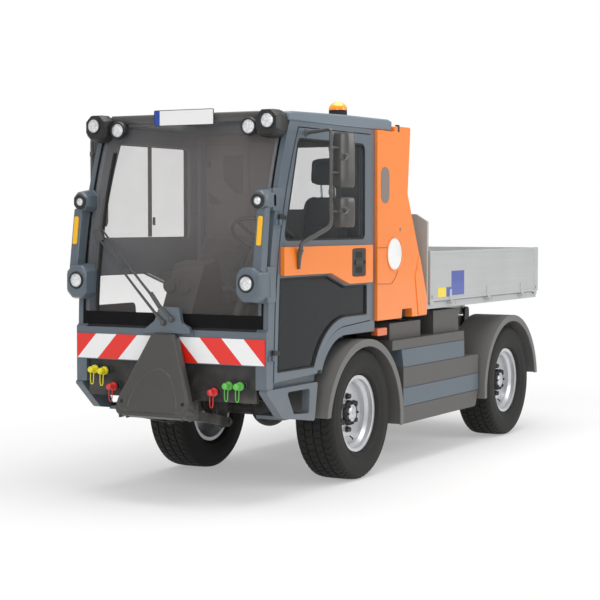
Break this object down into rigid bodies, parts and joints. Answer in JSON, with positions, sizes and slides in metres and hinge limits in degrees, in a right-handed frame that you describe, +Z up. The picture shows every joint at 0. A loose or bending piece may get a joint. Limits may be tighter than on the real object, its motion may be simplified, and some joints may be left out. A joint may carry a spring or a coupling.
{
  "type": "municipal implement carrier truck",
  "caption": "Compact municipal carrier truck with a glazed forward cab, orange rear towers, tipping dropside bed and front coupling triangle.",
  "frame": {"origin": "on the ground below the middle of the whole length and width", "axes": "+X forwards along the truck, +Y to the vehicle's left, +Z up"},
  "size_m": [4.342, 1.8282, 2.3389],
  "materials": {
    "chassis_black": "satin black chassis paint",
    "bright_steel": "hard chrome plated rod",
    "tyre": "matt rubber with side ribs",
    "rim_silver": "silver wheel paint",
    "blue_grey": "semi-gloss blue-grey paint",
    "cab_inside": "grained dark grey plastic",
    "orange": "gloss municipal orange",
    "tinted_glass": "tinted safety glass",
    "hazard": "red and white reflective stripes",
    "black_plastic": "grained black plastic",
    "lamp_glass": "clear lamp glass",
    "plate_white": "blank white plate",
    "amber": "amber lens over a black foot",
    "dark_plastic": "grained dark grey plastic",
    "seat_cloth": "dark woven cloth",
    "aluminium": "brushed anodised sheet"
  },
  "bodies": {
    "chassis": {"frame": "chassis_black", "front_axle": "chassis_black", "rear_axle": "chassis_black", "engine": "chassis_black", "side_frames": "blue_grey", "cab_floor": "cab_inside", "rear_wall": "cab_inside", "front_panel": "blue_grey", "hazard_panel": "hazard", "coupler_panel": "chassis_black", "roof": "blue_grey", "cab_glass": "tinted_glass", "lamp_posts": "blue_grey", "lamp_lenses": "lamp_glass", "light_bar": "black_plastic", "number_plate": "plate_white", "beacon": "amber", "wiper": "blue_grey", "front_fenders": "dark_plastic", "rear_fenders": "dark_plastic", "steps": "blue_grey", "side_boxes": "dark_plastic", "towers": "orange", "seats": "seat_cloth", "console": "cab_inside", "steering_wheel": "cab_inside", "subframe": "chassis_black", "tail_lamps": "chassis_black"},
    "wheel_front_left": {"tyre_front_left": "tyre", "rim_front_left": "rim_silver"},
    "wheel_front_right": {"tyre_front_right": "tyre", "rim_front_right": "rim_silver"},
    "wheel_rear_left": {"tyre_rear_left": "tyre", "rim_rear_left": "rim_silver"},
    "wheel_rear_right": {"tyre_rear_right": "tyre", "rim_rear_right": "rim_silver"},
    "knuckle_left": {"knuckle_left": "chassis_black"},
    "door_left": {"door_left": "blue_grey", "door_glass_left": "tinted_glass", "door_band_left": "orange", "door_fittings_left": "black_plastic"},
    "side_board_left": {"side_board_left": "aluminium"},
    "knuckle_right": {"knuckle_right": "chassis_black"},
    "door_right": {"door_right": "blue_grey", "door_glass_right": "tinted_glass", "door_band_right": "orange", "door_fittings_right": "black_plastic"},
    "side_board_right": {"side_board_right": "aluminium"},
    "tie_rod": {"tie_rod": "chassis_black"},
    "bed": {"bed": "aluminium", "headboard": "aluminium"},
    "tailboard": {"tailboard": "aluminium"},
    "ram_barrel": {"ram_barrel": "chassis_black"},
    "ram_stage": {"ram_stage": "bright_steel"},
    "ram_rod": {"ram_rod": "bright_steel"},
    "lift_arms": {"lift_arms": "chassis_black"},
    "top_link": {"top_link": "chassis_black"},
    "coupling_triangle": {"coupling_triangle": "dark_plastic"}
  },
  "joints": [
    {"name": "steer_left", "type": "hinge", "parent": "chassis", "child": "knuckle_left", "pos_m": [0.831, 0.41, 0.406], "axis": [0, 0, 1], "range_deg": [-30, 30]},
    {"name": "steer_right", "type": "hinge", "parent": "chassis", "child": "knuckle_right", "pos_m": [0.831, -0.41, 0.406], "axis": [0, 0, 1], "range_deg": [-30, 30]},
    {"name": "tie_rod_swing", "type": "hinge", "parent": "knuckle_left", "child": "tie_rod", "pos_m": [0.671, 0.41, 0.352], "axis": [0, 0, 1], "range_deg": [-30, 30]},
    {"name": "wheel_front_left_spin", "type": "hinge", "parent": "knuckle_left", "child": "wheel_front_left", "pos_m": [0.831, 0.5275, 0.406], "axis": [0, 1, 0], "continuous": true},
    {"name": "wheel_rear_left_spin", "type": "hinge", "parent": "chassis", "child": "wheel_rear_left", "pos_m": [-1.589, 0.5275, 0.406], "axis": [0, 1, 0], "continuous": true},
    {"name": "door_left_hinge", "type": "hinge", "parent": "chassis", "child": "door_left", "pos_m": [1.923, 0.658, 0.84], "axis": [0.1002, 0, -0.995], "range_deg": [0, 75]},
    {"name": "wheel_front_right_spin", "type": "hinge", "parent": "knuckle_right", "child": "wheel_front_right", "pos_m": [0.831, -0.5275, 0.406], "axis": [0, 1, 0], "continuous": true},
    {"name": "wheel_rear_right_spin", "type": "hinge", "parent": "chassis", "child": "wheel_rear_right", "pos_m": [-1.589, -0.5275, 0.406], "axis": [0, 1, 0], "continuous": true},
    {"name": "door_right_hinge", "type": "hinge", "parent": "chassis", "child": "door_right", "pos_m": [1.923, -0.658, 0.84], "axis": [-0.1002, 0, 0.995], "range_deg": [0, 75]},
    {"name": "bed_tip", "type": "hinge", "parent": "chassis", "child": "bed", "pos_m": [-1.869, 0, 0.9], "axis": [0, -1, 0], "range_deg": [0, 45]},
    {"name": "side_board_left_drop", "type": "hinge", "parent": "bed", "child": "side_board_left", "pos_m": [-1.129, 0.69, 1.035], "axis": [-1, 0, 0], "range_deg": [0, 180]},
    {"name": "side_board_right_drop", "type": "hinge", "parent": "bed", "child": "side_board_right", "pos_m": [-1.129, -0.69, 1.035], "axis": [1, 0, 0], "range_deg": [0, 180]},
    {"name": "tailboard_drop", "type": "hinge", "parent": "bed", "child": "tailboard", "pos_m": [-2.162, 0, 1.035], "axis": [0, -1, 0], "range_deg": [0, 90]},
    {"name": "ram_swing", "type": "hinge", "parent": "chassis", "child": "ram_barrel", "pos_m": [-1.269, 0, 0.55], "axis": [0, -1, 0], "range_deg": [0, 24]},
    {"name": "ram_stage_slide", "type": "slide", "parent": "ram_barrel", "child": "ram_stage", "axis": [0.237, 0, 0.9715], "range_m": [0, 0.2398]},
    {"name": "ram_rod_slide", "type": "slide", "parent": "ram_stage", "child": "ram_rod", "axis": [0.237, 0, 0.9715], "range_m": [0, 0.2398]},
    {"name": "lift_lower", "type": "hinge", "parent": "chassis", "child": "lift_arms", "pos_m": [1.681, 0, 0.42], "axis": [0, 1, 0], "range_deg": [0, 27]},
    {"name": "top_link_swing", "type": "hinge", "parent": "chassis", "child": "top_link", "pos_m": [1.693, 0, 0.56], "axis": [0, 1, 0], "range_deg": [0, 27]},
    {"name": "triangle_level", "type": "hinge", "parent": "lift_arms", "child": "coupling_triangle", "pos_m": [2.07226, 0, 0.50316], "axis": [0, -1, 0], "range_deg": [0, 27]}
  ],
  "couplings": [
    {"joint": "steer_right", "follows": "steer_left", "ratio": 1},
    {"joint": "tie_rod_swing", "follows": "steer_left", "ratio": -1},
    {"joint": "ram_swing", "follows": "bed_tip", "ratio": 0.51425},
    {"joint": "ram_stage_slide", "follows": "bed_tip", "m_per_rad": 0.30402},
    {"joint": "ram_rod_slide", "follows": "bed_tip", "m_per_rad": 0.30402},
    {"joint": "top_link_swing", "follows": "lift_lower", "ratio": 1},
    {"joint": "triangle_level", "follows": "lift_lower", "ratio": 1}
  ]
}
